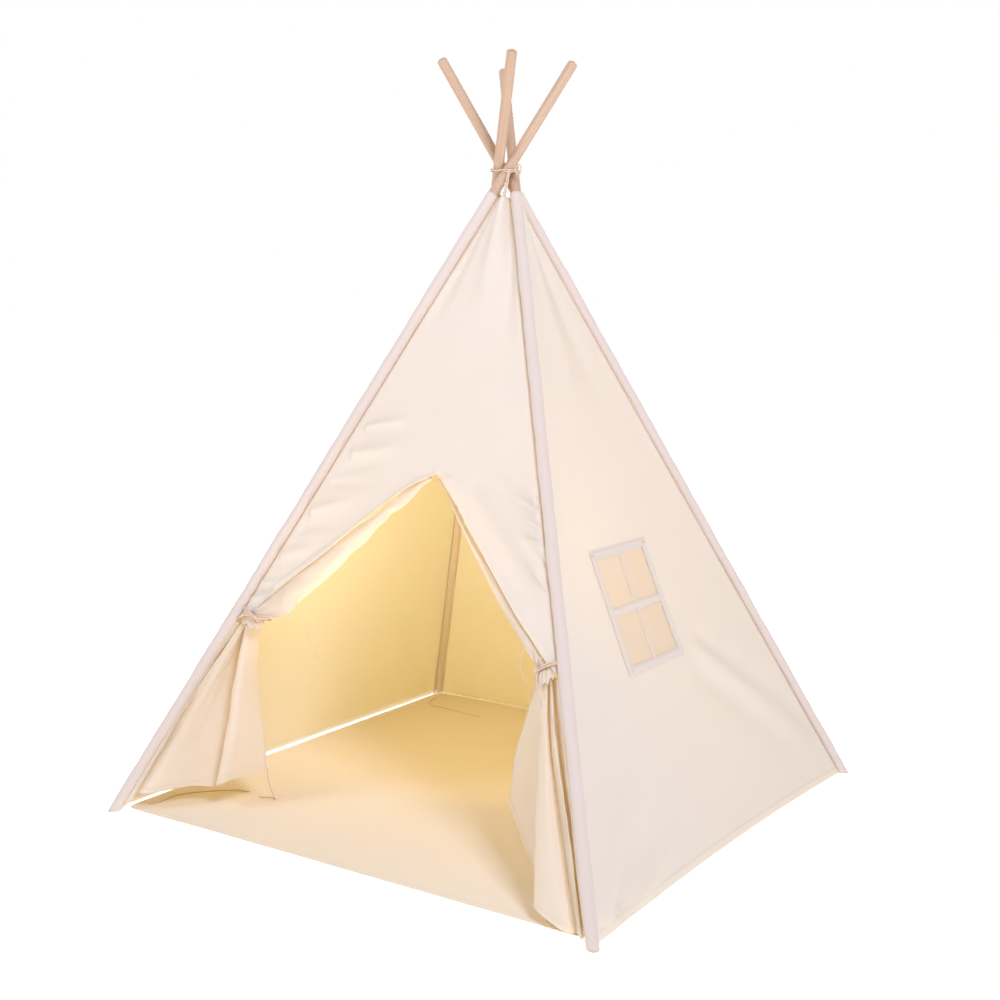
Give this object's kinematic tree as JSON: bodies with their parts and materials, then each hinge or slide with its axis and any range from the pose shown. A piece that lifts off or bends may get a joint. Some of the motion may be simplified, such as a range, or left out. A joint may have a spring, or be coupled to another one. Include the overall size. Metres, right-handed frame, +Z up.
{
  "type": "kids teepee",
  "caption": "Child's play teepee: crossed wooden poles, pale cotton cover with a tied-back door and a small window, loose floor mat.",
  "frame": {"origin": "on the floor, in the middle of the four pole feet", "axes": "+Z up; the door faces -Y and the window is in the panel on the +X side"},
  "size_m": [1.2114, 1.2114, 1.6029],
  "materials": {
    "beech": "pale, sanded, unvarnished beech with fine straight grain",
    "ferrule_steel": "thin plain steel tube",
    "cover_cotton": "undyed cotton canvas, translucent, warm inside",
    "pocket_cotton": "doubled cotton canvas round the pole",
    "trim_cotton": "hemmed cotton strip with topstitching",
    "window_screen": "fine see-through cotton voile",
    "cotton_cord": "thin woven cotton cord",
    "mat_cotton": "single layer of hemmed cotton"
  },
  "bodies": {
    "floor": {"floor_mat": "mat_cotton", "mat_tie_front_left": "cotton_cord", "mat_tie_front_right": "cotton_cord", "mat_tie_back_right": "cotton_cord", "mat_tie_back_left": "cotton_cord"},
    "crossing": {"lashing_cord": "cotton_cord", "lashing_bow": "cotton_cord", "lashing_anchor": "cotton_cord"},
    "pole_front_left": {"pole_front_left_lower": "beech", "pole_front_left_middle": "beech", "pole_front_left_upper": "beech", "ferrule_front_left_lower": "ferrule_steel", "ferrule_front_left_upper": "ferrule_steel", "sleeve_front_left": "pocket_cotton"},
    "pole_front_right": {"pole_front_right_lower": "beech", "pole_front_right_middle": "beech", "pole_front_right_upper": "beech", "ferrule_front_right_lower": "ferrule_steel", "ferrule_front_right_upper": "ferrule_steel", "sleeve_front_right": "pocket_cotton"},
    "pole_back_right": {"pole_back_right_lower": "beech", "pole_back_right_middle": "beech", "pole_back_right_upper": "beech", "ferrule_back_right_lower": "ferrule_steel", "ferrule_back_right_upper": "ferrule_steel", "sleeve_back_right": "pocket_cotton"},
    "pole_back_left": {"pole_back_left_lower": "beech", "pole_back_left_middle": "beech", "pole_back_left_upper": "beech", "ferrule_back_left_lower": "ferrule_steel", "ferrule_back_left_upper": "ferrule_steel", "sleeve_back_left": "pocket_cotton"},
    "front_cover": {"front_panel": "cover_cotton", "door_roll_left": "trim_cotton", "door_roll_right": "trim_cotton", "tie_loop_left": "cotton_cord", "tie_loop_right": "cotton_cord", "tie_end_left": "cotton_cord", "tie_end_right": "cotton_cord", "thread_end_left": "cotton_cord", "thread_end_right": "cotton_cord"},
    "right_cover": {"right_panel": "cover_cotton", "window_screen": "window_screen", "window_frame": "trim_cotton", "window_bars": "trim_cotton"},
    "back_cover": {"back_panel": "cover_cotton"},
    "left_cover": {"left_panel": "cover_cotton"},
    "flap_left": {"door_flap_left": "cover_cotton", "flap_tie_left": "cotton_cord"},
    "flap_right": {"door_flap_right": "cover_cotton"}
  },
  "joints": [
    {"name": "crossing_lift", "type": "slide", "parent": "floor", "child": "crossing", "axis": [0, 0, 1], "range_m": [0, 0.45]},
    {"name": "pole_swing_front_left", "type": "hinge", "parent": "crossing", "child": "pole_front_left", "pos_m": [0.01189, -0.01239, 1.371], "axis": [0.6925, -0.7215, 0], "range_deg": [0, 25.8]},
    {"name": "pole_swing_front_right", "type": "hinge", "parent": "crossing", "child": "pole_front_right", "pos_m": [0.01239, 0.01189, 1.371], "axis": [0.7215, 0.6925, 0], "range_deg": [0, 25.8]},
    {"name": "pole_swing_back_right", "type": "hinge", "parent": "crossing", "child": "pole_back_right", "pos_m": [-0.01189, 0.01239, 1.371], "axis": [-0.6925, 0.7215, 0], "range_deg": [0, 25.8]},
    {"name": "pole_swing_back_left", "type": "hinge", "parent": "crossing", "child": "pole_back_left", "pos_m": [-0.01239, -0.01189, 1.371], "axis": [-0.7215, -0.6925, 0], "range_deg": [0, 25.8]},
    {"name": "front_cover_fold", "type": "hinge", "parent": "crossing", "child": "front_cover", "pos_m": [0, 0, 1.371], "axis": [1, 0, 0], "range_deg": [0, 19.36], "deforming": ["front_panel", "door_roll_left", "door_roll_right", "tie_loop_left", "tie_loop_right", "tie_end_left", "tie_end_right", "thread_end_left", "thread_end_right"]},
    {"name": "right_cover_fold", "type": "hinge", "parent": "crossing", "child": "right_cover", "pos_m": [0, 0, 1.371], "axis": [0, 1, 0], "range_deg": [0, 19.36], "deforming": ["right_panel", "window_screen", "window_frame", "window_bars"]},
    {"name": "back_cover_fold", "type": "hinge", "parent": "crossing", "child": "back_cover", "pos_m": [0, 0, 1.371], "axis": [-1, 0, 0], "range_deg": [0, 19.36], "deforming": ["back_panel"]},
    {"name": "left_cover_fold", "type": "hinge", "parent": "crossing", "child": "left_cover", "pos_m": [0, 0, 1.371], "axis": [0, -1, 0], "range_deg": [0, 19.36], "deforming": ["left_panel"]},
    {"name": "flap_left_swing", "type": "hinge", "parent": "pole_front_left", "child": "flap_left", "pos_m": [-0.59197, -0.59197, 0], "axis": [0.3759, 0.3608, 0.8535], "range_deg": [-40, 25], "deforming": ["door_flap_left", "flap_tie_left"]},
    {"name": "flap_right_swing", "type": "hinge", "parent": "pole_front_right", "child": "flap_right", "pos_m": [0.59197, -0.59197, 0], "axis": [-0.3608, 0.3759, 0.8535], "range_deg": [-25, 40], "deforming": ["door_flap_right"]}
  ],
  "couplings": [
    {"joint": "pole_swing_front_left", "follows": "crossing_lift", "rad_per_m": 1.0007},
    {"joint": "pole_swing_front_right", "follows": "crossing_lift", "rad_per_m": 1.0007},
    {"joint": "pole_swing_back_right", "follows": "crossing_lift", "rad_per_m": 1.0007},
    {"joint": "pole_swing_back_left", "follows": "crossing_lift", "rad_per_m": 1.0007},
    {"joint": "front_cover_fold", "follows": "crossing_lift", "rad_per_m": 0.75087},
    {"joint": "right_cover_fold", "follows": "crossing_lift", "rad_per_m": 0.75087},
    {"joint": "back_cover_fold", "follows": "crossing_lift", "rad_per_m": 0.75087},
    {"joint": "left_cover_fold", "follows": "crossing_lift", "rad_per_m": 0.75087}
  ]
}
